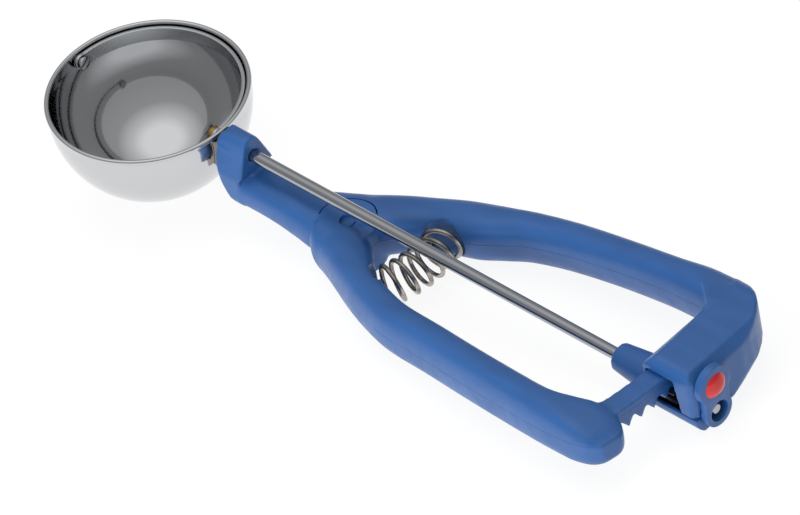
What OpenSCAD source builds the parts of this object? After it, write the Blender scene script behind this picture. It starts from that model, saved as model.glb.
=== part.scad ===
// Lever ice cream scoop with a round bowl, a sweeping scraper blade and a
// squeeze handle whose rack turns the blade through a pinion.
// Lengths are in mm. The parts are drawn in rod coordinates: X runs along the
// drive rod from the bowl to the handle end, Y points to the fixed arm and Z
// stands square to the bowl rim. in_world() then lays the scoop on its table.

/* [Bowl] */
// Outer radius of the bowl
bowl_r = 26; // [25:0.5:28]
// Wall thickness of the bowl
bowl_wall = 1.0; // [0.8:0.1:1.3]
// Height of the rim above the rod axis
rim_z = 2.9; // [2.6:0.1:3.6]
// Radius of the rolled rim bead
rim_bead = 0.65; // [0.55:0.05:0.8]

/* [Scraper] */
// Width of the blade strip
blade_w = 4; // [3.4:0.1:4.4]
// Thickness of the blade strip
blade_t = 1.0; // [0.8:0.1:1.2]
// Gap between the blade and the bowl
blade_gap = 0.3; // [0.3:0.05:0.5]
// Radius of the two pivot tabs of the blade
tab_r = 2.2; // [2.1:0.1:2.6]
// Radius of the front rivet shank
rivet_r = 1.2; // [1:0.1:1.4]
// Radius of the front rivet heads
rivet_head_r = 1.7; // [1.7:0.1:2.1]
// Thickness of the front rivet heads
rivet_head_t = 0.6; // [0.6:0.1:1]
// Radius of the brass hub
hub_r = 2.1; // [2:0.1:2.4]
// Length of the brass hub
hub_l = 1.2; // [1:0.1:1.6]

/* [Drive rod] */
// Radius of the drive rod
rod_r = 1.6; // [1.5:0.05:1.7]
// Running clearance round the rod
rod_gap = 0.05; // [0.03:0.01:0.08]
// How far the rod stands out of the rear of the housing
rod_out = 0.6; // [0.2:0.1:1.4]
// Depth of the flat that turns the pinion
rod_flat = 0.45; // [0.3:0.05:0.6]

/* [Bowl bracket] */
// Half width of the bracket between bowl and head block
lug_hw = 3.5; // [3:0.1:4]
// Height at which the front edge of the bracket leaves the bowl
lug_z = -6.6; // [-7.2:0.1:-6]
// Lower edge of the bracket and its tang
tang_z0 = -12.6; // [-13:0.1:-12]
// Upper edge of the tang in the bar
tang_z1 = -7.6; // [-8.5:0.1:-7]
// X of the rear end of the tang
tang_end_x = 50; // [44:1:54]
// Thickness of the tang
tang_t = 2.4; // [2:0.2:3.2]
// Outer radius of the rod sleeve
sleeve_r = 2.5; // [2.3:0.1:2.8]
// X of the rear end of the rod sleeve
sleeve_end_x = 34; // [32:0.5:36]

/* [Head block and bar] */
// Gap between the bowl and the head block
head_gap = 1.3; // [1:0.1:1.6]
// Length of the head block
head_l = 9.5; // [9:0.1:10.5]
// Height of the ridge of the head block
head_top = 5.6; // [5.2:0.1:6]
// Radius of the ridge
ridge_r = 3; // [2.6:0.1:3.4]
// Half width of the head block
head_hw = 6.1; // [5.8:0.1:6.6]
// Height of the middle of the bar
bar_z = -10.2; // [-10.5:0.1:-9.9]

/* [Pivot] */
// X of the lever pivot
pivot_x = 68.8; // [68.2:0.1:69.2]
// Height of the middle of the pivot
pivot_z = -11.4; // [-11.5:0.1:-11]
// Slope of the handle plane to the rod
rise = 9; // [8.5:0.1:9.3]
// Radius of the knuckle ears
ear_r = 7.4; // [7:0.1:7.6]
// Height of the ears above the handle plane
ear_up = 6.6; // [6.3:0.1:6.8]
// Height of the ears below the handle plane
ear_down = 6.4; // [6:0.1:6.6]
// Gap between the ears and the frame
cup_gap = 0.35; // [0.32:0.02:0.5]
// Thickness of the frame tongue between the ears
tongue_t = 5; // [4:0.25:6]
// Gap above and below the tongue
tongue_gap = 0.3; // [0.3:0.05:0.4]
// Radius of the pivot pin
pin_r = 2; // [1.75:0.05:2.25]
// Depth of the pin ends below the ears
pin_dip = 0.6; // [0.4:0.1:0.9]
// Clearance of the pin in its bores
pin_gap = 0.03; // [0.02:0.01:0.05]
// Gap between the lever heel and the bar at rest
heel_gap = 0.35; // [0.3:0.05:0.5]

/* [Rack and pinion] */
// Tooth size, the pitch over PI
tooth_m = 1.25; // [1.2:0.01:1.3]
// Pressure angle of the teeth
tooth_a = 35; // [33:0.5:35]
// Number of pinion teeth
pinion_n = 6; // [6:1:6]
// Play between the teeth
tooth_play = 0.35; // [0.3:0.05:0.4]
// Number of rack teeth
rack_n = 6; // [5:1:6]
// Distance of the rack from the front face of the housing
rack_in = 1.8; // [1.8:0.1:2]
// Width of the rack along the rod
rack_w = 5.8; // [5.4:0.1:6]
// Top of the rack strip above the rod axis
rack_top = 9.2; // [8.6:0.1:9.4]
// Length of the pinion
pinion_l = 6.1; // [5.6:0.1:6.4]

/* [Rear housing] */
// X of the front face of the housing
house_x0 = 173.6; // [173.4:0.1:173.8]
// Length of the housing
house_l = 16.4; // [16:0.1:17]
// Height of the flat top above the rod axis
house_top = 13.3; // [12.9:0.1:13.8]
// Distance of the rack mouth from the rod
mouth_y = 6; // [5.8:0.1:6.2]
// Thickness of the front wall
front_wall = 1.4; // [1.2:0.1:1.4]
// Thickness of the rear wall
rear_wall = 6.2; // [5.9:0.1:6.6]
// Gap round the rack in its channel
rack_gap = 0.35; // [0.3:0.05:0.4]
// Front radius of the rod boss
boss_r0 = 3.6; // [3.2:0.1:4]
// Rear radius of the rod boss
boss_r1 = 5.3; // [5:0.1:5.6]
// Length of the rod boss before the housing
boss_l = 13.6; // [11.6:0.5:16.6]

/* [Housing cover] */
// Outer radius of the cover round the rod
cover_r = 6.2; // [6.1:0.05:6.4]
// Height of the seam between cover and housing
seam_z = -0.2; // [-0.5:0.1:0]
// Fit between cover and housing
seam_gap = 0.05; // [0.03:0.01:0.1]
// Inner radius of the pinion pocket
pocket_r = 5.1; // [5:0.05:5.2]
// Height of the rod axis over the rest flat
rest_h = 5.9; // [5.8:0.05:6]
// Distance of the middle of the rest flat from the front of the housing
rest_in = 8.4; // [7.4:0.5:9.4]

/* [Rear end] */
// Radius of the rear bush
bush_r = 2.8; // [2.5:0.1:3]
// Clearance of pieces that are pressed together
press_gap = 0.02; // [0.01:0.01:0.03]
// Thickness of the end plate
plate_t = 2.2; // [1.9:0.1:2.5]
// Radius of the lower ring of the end plate
plate_r0 = 4.4; // [4.3:0.05:4.6]
// Radius of the upper end of the end plate
plate_r1 = 5.3; // [5:0.1:5.5]
// Height of the plug above the rod
plug_z = 8.5; // [8:0.1:9]
// Radius of the collar behind the end plate
collar_r = 4; // [3.8:0.1:4.2]
// Depth of the collar in the housing
collar_l = 2.2; // [1.8:0.1:2.4]
// Radius of the plug dome
plug_r = 3.4; // [3.2:0.05:3.6]
// Height of the plug dome
plug_h = 1.5; // [1.2:0.1:1.8]
// Radius of the plug shank
shank_r = 1.5; // [1.3:0.1:1.8]

/* [Spring] */
// Outer diameter of the spring
coil_d = 11; // [10.4:0.1:11.4]
// Diameter of the spring wire
wire_d = 1.2; // [1.1:0.05:1.3]
// Number of spring curls
curl_n = 6.5; // [5.5:1:6.5]
// Distance of the spring seats from the pivot
seat_u = 21.6; // [21.2:0.1:22]
// Distance of each spring seat from the middle
seat_v = 11.8; // [11.6:0.05:12]
// Half of the angle through which the spring is bowed
bow = 29; // [26:1:31]
// Angle by which the spring leans to the pivot
lean = 5; // [3:0.5:7]
// Radius of the spigot in the lower end
spigot_r = 2.2; // [1.8:0.1:2.4]
// Height of the spigot
spigot_h = 2; // [1.8:0.1:2.4]

/* [Hidden] */
$fn = 64;

// X of the front face of the head block
head_x = bowl_r + head_gap;
// X of the front face of the rack at the rod
rack_x = house_x0 + rack_in;
// X of the front end of the rod boss
boss_x = house_x0 - boss_l;
// X of the middle of the rest flat
rest_x = house_x0 + rest_in;
// X of the rear end of the rod
rod_end_x = house_x0 + house_l + rod_out;
// How the scoop lies: bowl and rest flat on one plane
tilt = asin((bowl_r - rest_h) / rest_x);
// Inside radius of the bowl
bowl_ri = bowl_r - bowl_wall;
// Outer radius of the blade strip
blade_r = sqrt(pow(bowl_ri - blade_gap, 2) - pow(max(blade_w / 2, tab_r), 2));
// X of the inner face of the blade tabs
tab_x = blade_r - blade_t;
// X of the front end of the rod
rod_x0 = tab_x - press_gap - hub_l;
// X of the rear face of the housing
house_x1 = house_x0 + house_l;
// Length of the part of the channel beside the pinion
cavity_x0 = house_x0 + front_wall;
cavity_x1 = house_x1 - rear_wall;
// X of the front face of the pinion
pinion_x = rack_x + rack_w / 2 - pinion_l / 2;
// Pitch, pitch radius and tooth heights of the gearing
pitch = PI * tooth_m;
pitch_r = tooth_m * pinion_n / 2;
base_r = pitch_r * cos(tooth_a);
pinion_tip = pitch_r + 0.72 * tooth_m;
pinion_root = pitch_r - 1.16 * tooth_m;
tooth_half = (pitch - tooth_play) / 4;
tip_drop = 0.96 * tooth_m;
root_rise = 1.12 * tooth_m;
// Distance of the pitch line from the pivot axis
rack_r = hu(rack_x + rack_w / 2, pitch_r);
// Angle of one tooth about the pivot
step = pitch / rack_r * 180 / PI;
// Travel of the lever
travel = 6;
// Angle of the closed end of the rack strip
rack_a1 = 1.17 * step;
// Radius of the bow of the spring
bow_r = seat_v / sin(bow);
// Mean radius of a spring curl
coil_r = (coil_d - wire_d) / 2;

// Place in the handle plane of a point in rod coordinates
function hu(x, z) = (x - pivot_x) * cos(rise) + (z - pivot_z) * sin(rise);
function hw(x, z) = (z - pivot_z) * cos(rise) - (x - pivot_x) * sin(rise);
function hp(x, z) = [hu(x, z), hw(x, z)];

module in_world() {
    translate([-rest_x * cos(tilt), 0, bowl_r])
        rotate([0, tilt, 0])
            children();
}

module in_handle() {
    translate([pivot_x, 0, pivot_z])
        rotate([0, -rise, 0])
            children();
}

// A cylinder along X from x0 to x1
module rod_cyl(x0, x1, r) {
    translate([x0, 0, 0])
        rotate([0, 90, 0])
            cylinder(h = x1 - x0, r = r);
}

// A slab from an outline in X and Z, thick along Y
module side_slab(pts, y0, y1) {
    translate([0, y1, 0])
        rotate([90, 0, 0])
            linear_extrude(height = y1 - y0)
                polygon(pts);
}

// A slab from an outline in Y and Z, thick along X
module cross_slab(pts, x0, x1) {
    translate([x0, 0, 0])
        rotate([90, 0, 90])
            linear_extrude(height = x1 - x0)
                polygon(pts);
}

// Points on an arc
function arc(cx, cy, r, a0, a1, n = 6) =
    [for (i = [0:n]) let (a = a0 + (a1 - a0) * i / n) [cx + r * cos(a), cy + r * sin(a)]];

// Points on a cubic curve between a and d
function curve(a, b, c, d, n = 8) =
    [for (i = [0:n]) let (t = i / n, s = 1 - t)
        s * s * s * a + 3 * s * s * t * b + 3 * s * t * t * c + t * t * t * d];

// ---- Arms ----

// X of the front face of the housing for which the rows are written
row_house_x = 173.6;
// Place of a row, with the arms stretched to the housing
function along(rows) = let (k = (house_x0 - pivot_x) / (row_house_x - pivot_x))
    [for (r = rows) [r[0] < pivot_x ? r[0] : pivot_x + (r[0] - pivot_x) * k,
        r[1], r[2], r[3], len(r) > 4 ? r[4] : r[3]]];
// Rows of x, y, half width and half height along the fixed arm
FRAME_ROWS = [[33, 0, 6.1, 5], [44, 0, 6.1, 5.1], [54, 0.1, 6.8, 5.6], [61, 1.2, 8.4, 6.3],
    [68, 5.2, 8.2, 6.6], [76, 10.2, 6.7, 6.7], [84, 13.8, 5.9, 6.7], [92, 16.3, 6.2, 6.8],
    [98, 17.7, 6.2, 6.9], [105, 19.9, 5.4, 6.8], [112, 21.9, 4.8, 6.7], [124, 23.7, 4.5, 6.7],
    [140, 24.7, 4.3, 6.8], [156, 25, 4.4, 7], [166, 25, 5, 7.3], [176, 24.4, 5, 7.2]];
// The same along the lever arm, with the height above the middle as a fifth value
LEVER_ROWS = [[61.9, -3.4, 4.6, 6.2, 6.2], [65, -3.8, 6.1, 6.4, 6.4], [70, -5, 6.6, 6.6, 6.6],
    [77, -9, 5.7, 6.7, 6.7], [85, -13.6, 4.8, 6.8, 6.8], [94, -17.2, 4.7, 6.9, 6.9],
    [104, -20.1, 4.7, 7, 7], [118, -22, 4.6, 7.2, 7.2], [133, -24.2, 4.6, 7.3, 7.3],
    [148, -26.2, 4.6, 7.4, 7.5], [160, -27.5, 4.8, 7.4, 7.3], [168, -27.3, 5.7, 7.4, 6.6],
    [174.5, -26.7, 6.3, 7.4, 5.4], [179.3, -26.8, 5.8, 7, 3.4], [182, -27.2, 4.4, 6.2, 1.4],
    [183.4, -27.5, 2.8, 4.6, 0.6]];
// Outline of the web between the lever arm and the rack strip
WEB = [[160, -26], [165, -24.2], [168, -23.2], [170.5, -22.1], [172.5, -20.9], [174, -19.6],
    [175.2, -18.2], [175.9, -17.5], [175.9, -24], [168, -28]];
// Sides of an arm section, and stations for each row
side_n = 16;
per_row = 2;

// Height of the middle of the handle at x
function ease(t) = t * t * (3 - 2 * t);
function mid_z(x) = x > pivot_x
    ? pivot_z + (x - pivot_x) * tan(rise)
    : bar_z + (pivot_z - bar_z) * ease(max(0, (x - pivot_x + 22) / 22));

function between(a, b, c, d, t) = 0.5 * (2 * b + (c - a) * t + (2 * a - 5 * b + 4 * c - d) * t * t
    + (3 * b - a - 3 * c + d) * t * t * t);
function stations(rows) = let (m = len(rows) - 1) concat(
    [for (i = [0:m - 1]) for (j = [0:per_row - 1])
        between(rows[max(i - 1, 0)], rows[i], rows[i + 1], rows[min(i + 2, m)], j / per_row)],
    [rows[m]]);
// Roundness of the side of an arm section: squarer towards the end of the lever
function bulge(v, e) = sign(v) * pow(abs(v), e);
function power(p) = 0.8 - (p[4] < p[3] ? 0.25 * min(1, (p[3] - p[4]) / 1.5) : 0);
function section(p, dir) = let (k = dir / norm(dir), e = power(p))
    [for (i = [0:side_n - 1]) let (a = 360 * i / side_n, s = p[2] * bulge(cos(a), e))
        [p[0] - k[1] * s, p[1] + k[0] * s,
            mid_z(p[0]) + (a < 180 ? p[4] : p[3]) * bulge(sin(a), e)]];

// A solid through the sections of a list of rings of n points
module skin(rings, n) {
    m = len(rings);
    walls = [for (i = [0:m - 2]) for (k = [0:n - 1]) let (a = i * n + k, b = i * n + (k + 1) % n)
        [[a, a + n, b + n], [a, b + n, b]]];
    polyhedron(
        points = [for (r = rings) for (p = r) p],
        faces = concat(
            [for (w = walls) for (f = w) f],
            [for (k = [1:n - 2]) [0, k, k + 1]],
            [for (k = [1:n - 2]) [(m - 1) * n, (m - 1) * n + k + 1, (m - 1) * n + k]]),
        convexity = 6);
}

module arm(rows) {
    st = stations(along(rows));
    m = len(st) - 1;
    rings = [for (i = [0:m]) let (a = st[max(i - 1, 0)], b = st[min(i + 1, m)])
        section(st[i], [b[0] - a[0], b[1] - a[1]])];
    skin(rings, side_n);
}

// A sector in the handle plane about the pivot
module sector(a0, a1, r, z0, z1) {
    translate([0, 0, z0])
        linear_extrude(height = z1 - z0)
            polygon(concat([[0, 0]], arc(0, 0, r, a0, a1, 8)));
}

// ---- Pivot ----

// Where the frame leaves the ears to the lever, as angles about the pivot
ear_a0 = 45;
ear_a1 = 198.5;
// X of the end face of the bar beside the lever heel
heel_x = LEVER_ROWS[0][0] - heel_gap;

// The space that the frame leaves free for the ears and the heel
module knuckle_space() {
    in_handle()
        translate([0, 0, -12])
            cylinder(h = 24, r = ear_r + cup_gap);
    translate([heel_x, -20, -30])
        cube([20, 17.5, 40]);
}

module tongue() {
    in_handle() {
        translate([0, 0, -tongue_t / 2])
            cylinder(h = tongue_t, r = ear_r - 0.8);
        intersection() {
            translate([0, 0, -tongue_t / 2])
                cylinder(h = tongue_t, r = ear_r + cup_gap + 1.6);
            sector(60, 190, 20, -tongue_t / 2, tongue_t / 2);
        }
    }
}

// The space in the lever for the tongue of the frame
module tongue_space() {
    h = tongue_t / 2 + tongue_gap;
    in_handle() {
        translate([0, 0, -h])
            cylinder(h = 2 * h, r = ear_r - 0.4);
        sector(50, 196, 20, -h, h);
    }
}

module pin_bore(r) {
    in_handle()
        translate([0, 0, -15])
            cylinder(h = 30, r = r);
}

// ---- Spring seats ----

// Leans the spring and its seats about the upper seat
module in_spring() {
    in_handle()
        translate([seat_u, seat_v, 0])
            rotate([0, 0, -lean])
                translate([-seat_u, -seat_v, 0])
                    children();
}

// Turns a cylinder on the upper seat so that it points into the frame
module at_upper_seat() {
    in_spring()
        translate([seat_u, seat_v, 0])
            rotate([0, 0, bow])
                rotate([-90, 0, 0])
                    children();
}

// Turns a cylinder on the lower seat so that it points out of the lever
module at_lower_seat() {
    in_spring()
        translate([seat_u, -seat_v, 0])
            rotate([0, 0, -bow])
                rotate([-90, 0, 0])
                    children();
}

// ---- Head block ----

module head_block() {
    rear = head_x + head_l;
    side = concat(
        [[head_x, -2.5]],
        arc(head_x + 2.6, head_top - 3, 2.6, 180, 100),
        [[rear - 0.3, head_top], [rear, -4.5], [rear - 1, -5], [rear - 1, -15.1],
            [head_x + 4.6, -13.6], [head_x + 2.6, -10], [head_x + 0.8, -6]]);
    low_r = 3.6;
    front = concat(
        arc(0, head_top - ridge_r, ridge_r, 23, 157, 8),
        [[-head_hw, -5]],
        arc(low_r - head_hw, low_r - 15.1, low_r, 180, 270),
        arc(head_hw - low_r, low_r - 15.1, low_r, 270, 360),
        [[head_hw, -5]]);
    plan = concat(
        [[rear + 1, head_hw]],
        arc(head_x + 2.6, head_hw - 2.6, 2.6, 90, 180),
        arc(head_x + 2.6, 2.6 - head_hw, 2.6, 180, 270),
        [[rear + 1, -head_hw]]);
    intersection() {
        side_slab(side, -head_hw - 1, head_hw + 1);
        cross_slab(front, head_x - 1, rear + 1);
        translate([0, 0, -20])
            linear_extrude(height = 40)
                polygon(plan);
    }
}

// ---- Rear housing ----

// A block under a plane that rises to the fixed arm and falls to the front
module under_rear(drop, slope) {
    translate([house_x1, cover_r + 0.1, drop])
        rotate([32, 0, 0])
            rotate([0, -slope, 0])
                translate([-30, 0, -20])
                    cube([60, 40, 20]);
}

module housing() {
    y1 = 29.2;
    low = -2.5;
    cross = concat(
        [[cover_r - 1, low], [cover_r - 1, seam_z], [-mouth_y, seam_z]],
        arc(2.8 - mouth_y, house_top - 2.8, 2.8, 180, 90),
        arc(y1 - 5, house_top - 5, 5, 90, 0),
        arc(y1 - 8, low + 8, 8, 0, -90));
    long = concat(
        [[house_x0, low - 1]],
        arc(house_x0 + 4, house_top - 4, 4, 180, 90),
        arc(house_x1 - 2, house_top - 2, 2, 90, 0),
        [[house_x1, low - 1]]);
    plan = concat(
        arc(house_x0 + 1.2, 1.2 - mouth_y, 1.2, 180, 270),
        arc(house_x1 - 2, 2 - mouth_y, 2, 270, 360),
        curve([house_x1, 12], [house_x1 - 0.5, 22], [house_x1 - 8, 28.8], [house_x0, y1]));
    difference() {
        intersection() {
            cross_slab(cross, house_x0 - 1, house_x1 + 1);
            side_slab(long, -mouth_y - 1, y1 + 1);
            translate([0, 0, low - 1])
                linear_extrude(height = house_top - low + 2)
                    polygon(plan);
        }
        under_rear(-2.7, 62);
        under_rear(-4.6, 38);
    }
}

// A stretch of the channel or strip of the rack, as a ring about the pivot
module rack_ring(x0, x1, z0, z1, a0, a1) {
    in_handle()
        rotate([0, 0, a0])
            rotate_extrude(angle = a1 - a0, $fn = 200)
                polygon([hp(x0, z0), hp(x1, z0), hp(x1, z1), hp(x0, z1)]);
}

module rack_channel() {
    g = rack_gap;
    end_a = rack_a1 + travel + 1.1 * g / rack_r * 180 / PI;
    rack_ring(rack_x - g, rack_x + rack_w + g, pitch_r - tip_drop - g - 0.1, rack_top + g,
        -2 * step, end_a);
    translate([cavity_x0, -mouth_y - 2, seam_z - 1])
        cube([cavity_x1 - cavity_x0, mouth_y + 2 + pocket_r, rack_top + g - seam_z + 1]);
    side_slab([[cavity_x1 - 0.5, rack_top], [cavity_x1 - 0.2, rack_top], [cavity_x1 + 1.3, seam_z - 1],
        [cavity_x1 - 0.5, seam_z - 1]], -mouth_y - 2, -mouth_y + 3);
}

// Everything that is bored along the rod in housing and cover
module rear_bores() {
    rod_cyl(boss_x - 1, house_x1 + 1, rod_r + rod_gap);
    rod_cyl(cavity_x1 - 1, house_x1 + 1, bush_r + press_gap);
    rod_cyl(house_x1 - collar_l - press_gap, house_x1 + 1, collar_r + press_gap);
    translate([0, 0, plug_z])
        rod_cyl(house_x1 - 4.4, house_x1 + 1, shank_r + press_gap);
}

module boss() {
    translate([boss_x, 0, 0])
        rotate([0, 90, 0])
            cylinder(h = house_x0 + 0.5 - boss_x, r1 = boss_r0, r2 = boss_r1);
}

// ---- Bowl bracket ----

// The bracket, with a clearance c all round
module bracket(c) {
    x = head_x + 4.5;
    lug_x = head_x + 0.1;
    side_slab([[0.77 * bowl_r, lug_z - c], [0.977 * bowl_r - c, lug_z - c], [lug_x - c, tang_z0 - c],
        [x + c, tang_z0 - c], [x + c, rod_r + c], [0.77 * bowl_r, rod_r + c]], -lug_hw - c, lug_hw + c);
    side_slab([[lug_x - c, tang_z0 - c], [tang_end_x + c, tang_z0 - c], [tang_end_x + c, tang_z1 + c],
        [lug_x, tang_z1 + c]], -tang_t / 2 - c, tang_t / 2 + c);
    rod_cyl(0.77 * bowl_r, sleeve_end_x + c, sleeve_r + c);
}

// ---- Nodes ----

module handle_frame() {
    color("#3d64a0")
        in_world()
            difference() {
                union() {
                    difference() {
                        arm(FRAME_ROWS);
                        knuckle_space();
                    }
                    tongue();
                    head_block();
                    housing();
                    boss();
                }
                pin_bore(pin_r + pin_gap);
                rack_channel();
                rear_bores();
                rod_cyl(house_x0 - 1, house_x1 + 1, rod_r + rod_gap);
                rod_cyl(20, 50, rod_r + rod_gap);
                bracket(press_gap);
                intersection() {
                    rod_cyl(house_x0 - 1, house_x1 + 1, cover_r + seam_gap);
                    translate([house_x0 - 2, -20, seam_z - 20])
                        cube([house_l + 4, 40, 20]);
                }
                at_upper_seat()
                    translate([0, 0, -8])
                        cylinder(h = 8, r = coil_d / 2 + 0.4);
            }
}

module housing_cover() {
    color("#4a74b4")
        intersection() {
            in_world()
                difference() {
                    rod_cyl(house_x0, house_x1, cover_r);
                    translate([house_x0 - 1, -20, seam_z - seam_gap])
                        cube([house_l + 2, 40, 20]);
                    translate([house_x0 - 1, -mouth_y - 10, -20])
                        cube([house_l + 2, 10, 40]);
                    rod_cyl(cavity_x0, cavity_x1, pocket_r);
                    rear_bores();
                }
            translate([-60, -30, 0])
                cube([120, 60, 40]);
        }
}

// One rack tooth, standing where it meets the pinion
module rack_tooth() {
    t = tan(tooth_a);
    w0 = tooth_half + root_rise * t;
    w1 = tooth_half - tip_drop * t;
    z0 = pitch_r + root_rise;
    z1 = pitch_r - tip_drop;
    cross_slab([[-w0, z0 + 0.8], [-w0, z0], [-w1, z1], [w1, z1], [w0, z0], [w0, z0 + 0.8]],
        rack_x, rack_x + rack_w);
}

module rack() {
    rack_ring(rack_x, rack_x + rack_w, pitch_r + root_rise - 0.05, rack_top,
        -(rack_n - 0.7) * step, rack_a1);
    for (i = [0:rack_n - 1])
        in_handle()
            rotate([0, 0, (0.5 - i) * step])
                rotate([0, rise, 0])
                    translate([-pivot_x, 0, -pivot_z])
                        rack_tooth();
}

// The rounded corner between the lever arm and the rack strip
module web() {
    z0 = pitch_r + root_rise;
    z1 = rack_top - 0.2;
    k = (house_x0 - pivot_x) / (row_house_x - pivot_x);
    in_handle()
        translate([0, 0, hw(rack_x, z0) + 0.15])
            linear_extrude(height = hw(rack_x, z1) - hw(rack_x, z0) - 0.15)
                polygon([for (p = WEB) [hu(pivot_x + (p[0] - pivot_x) * k, z0), p[1]]]);
}

module lever() {
    color("#3a60a4")
        in_world()
            difference() {
                union() {
                    difference() {
                        union() {
                            arm(LEVER_ROWS);
                            web();
                        }
                        in_handle()
                            difference() {
                                sector(ear_a0, ear_a1, 30, -15, 15);
                                translate([0, 0, -16])
                                    cylinder(h = 32, r = ear_r);
                            }
                        in_handle()
                            rotate([0, 0, -travel])
                                translate([rack_r - 8, -mouth_y - 1, -12])
                                    cube([30, 20, 24]);
                    }
                    in_handle()
                        translate([0, 0, -ear_down])
                            cylinder(h = ear_down + ear_up, r = ear_r);
                    rack();
                    at_lower_seat()
                        translate([0, 0, -4])
                            cylinder(h = 4, r = coil_d / 2 + 0.2);
                }
                tongue_space();
                pin_bore(pin_r + pin_gap);
                difference() {
                    at_lower_seat()
                        cylinder(h = 8, r = coil_d / 2 + 0.7);
                    at_lower_seat()
                        translate([0, 0, -1])
                            cylinder(h = 1 + spigot_h, r = spigot_r);
                }
            }
    color("#3a60a4")
        in_world()
            at_lower_seat()
                translate([0, 0, -1])
                    cylinder(h = 1 + spigot_h, r = spigot_r);
}

module pivot_pin() {
    color("#3a60a4")
        in_world()
            in_handle()
                translate([0, 0, pin_dip - ear_down])
                    cylinder(h = ear_down + ear_up - 2 * pin_dip, r = pin_r);
}

module bowl() {
    color("#d7dadd")
        in_world()
            difference() {
                union() {
                    intersection() {
                        sphere(r = bowl_r, $fn = 96);
                        translate([-bowl_r - 1, -bowl_r - 1, -bowl_r - 1])
                            cube([2 * bowl_r + 2, 2 * bowl_r + 2, bowl_r + 1]);
                    }
                    translate([0, 0, -0.5])
                        cylinder(h = 0.5 + rim_z - rim_bead, r = bowl_r);
                    rotate_extrude()
                        translate([bowl_ri + rim_bead, rim_z - rim_bead])
                            circle(r = rim_bead, $fn = 32);
                }
                sphere(r = bowl_ri, $fn = 96);
                cylinder(h = rim_z + 1, r = bowl_ri);
                rod_cyl(0, bowl_r + 2, rod_r + rod_gap);
                rod_cyl(-bowl_r - 2, 0, rivet_r + press_gap);
            }
}

module bowl_bracket() {
    color("#a9a49c")
        in_world()
            difference() {
                bracket(0);
                sphere(r = bowl_r + press_gap, $fn = 96);
                rod_cyl(0, tang_end_x + 1, rod_r + rod_gap);
            }
}

module scraper_blade() {
    color("#c3c6c9")
        in_world()
            difference() {
                union() {
                    rotate_extrude(angle = 180)
                        translate([tab_x, -blade_w / 2])
                            square([blade_t, blade_w]);
                    rod_cyl(tab_x, blade_r - 0.1, tab_r);
                    rod_cyl(0.1 - blade_r, -tab_x, tab_r);
                }
                rod_cyl(0, bowl_r, rod_r + press_gap);
                rod_cyl(0, tab_x, tab_r + press_gap);
                rod_cyl(-bowl_r, 0, rivet_r + rod_gap);
            }
}

module scraper_rivet() {
    color("#c9ccd0")
        in_world() {
            rod_cyl(-bowl_r - press_gap - rivet_head_t, blade_gap + rivet_head_t - tab_x, rivet_r);
            rod_cyl(-bowl_r - press_gap - rivet_head_t, -bowl_r - press_gap, rivet_head_r);
            rod_cyl(blade_gap - tab_x, blade_gap + rivet_head_t - tab_x, rivet_head_r);
        }
}

module scraper_hub() {
    color("#b08d4a")
        in_world()
            difference() {
                rod_cyl(rod_x0, rod_x0 + hub_l, hub_r);
                rod_cyl(rod_x0 - 1, rod_x0 + hub_l + 1, rod_r + press_gap);
            }
}

// The rod's round section with the flat for the pinion, grown by c
module flat_round(x0, x1, c) {
    difference() {
        rod_cyl(x0, x1, rod_r + c);
        translate([x0 - 1, -5, rod_r - rod_flat + c])
            cube([x1 - x0 + 2, 10, 5]);
    }
}

module drive_rod() {
    color("#b9bcc0")
        in_world() {
            rod_cyl(rod_x0, pinion_x - press_gap, rod_r);
            flat_round(pinion_x - press_gap - 0.01, pinion_x + pinion_l + press_gap + 0.01, 0);
            rod_cyl(pinion_x + pinion_l + press_gap, rod_end_x, rod_r);
        }
}

function inv(r) = let (a = acos(base_r / r)) tan(a) * 180 / PI - a;
flank = [for (i = [0:5]) let (r = base_r + (pinion_tip - base_r) * i / 5) [r, inv(r)]];
half_a = tooth_half / pitch_r * 180 / PI + inv(pitch_r);

module pinion() {
    right = concat([[pinion_root, half_a]], [for (f = flank) [f[0], half_a - f[1]]]);
    pts = [for (t = [0:pinion_n - 1]) for (s = [1, -1]) for (i = [0:6])
        let (q = right[s > 0 ? i : 6 - i], a = 90 - 360 * t / pinion_n + s * q[1])
        [q[0] * cos(a), q[0] * sin(a)]];
    color("#77797c")
        in_world()
            difference() {
                cross_slab(pts, pinion_x, pinion_x + pinion_l);
                flat_round(pinion_x - 1, pinion_x + pinion_l + 1, press_gap);
            }
}

module rear_bush() {
    color("#3a3a3c")
        in_world()
            difference() {
                rod_cyl(pinion_x + pinion_l + 0.4, house_x1 - collar_l - 2 * press_gap, bush_r);
                rod_cyl(house_x0, house_x1, rod_r + rod_gap);
            }
}

// ---- Spring ----

// Frames along the bow: place, outward and forward direction at length s
function bow_a(s) = s / bow_r * 180 / PI - bow;
bow_u = seat_u - bow_r * cos(bow);
function bow_p(s, f) = let (a = bow_a(s), r = bow_r + coil_r * cos(f))
    [bow_u + r * cos(a), r * sin(a), coil_r * sin(f)];
function bow_n(s, f) = let (a = bow_a(s)) [cos(a) * cos(f), sin(a) * cos(f), sin(f)];
bow_l = bow_r * 2 * bow * PI / 180;
wire_s0 = 0.05;
wire_s1 = bow_l - 0.05;
coil_l = wire_s1 - wire_s0 - 2 * wire_d;
ring_n = 8 * curl_n;
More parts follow.
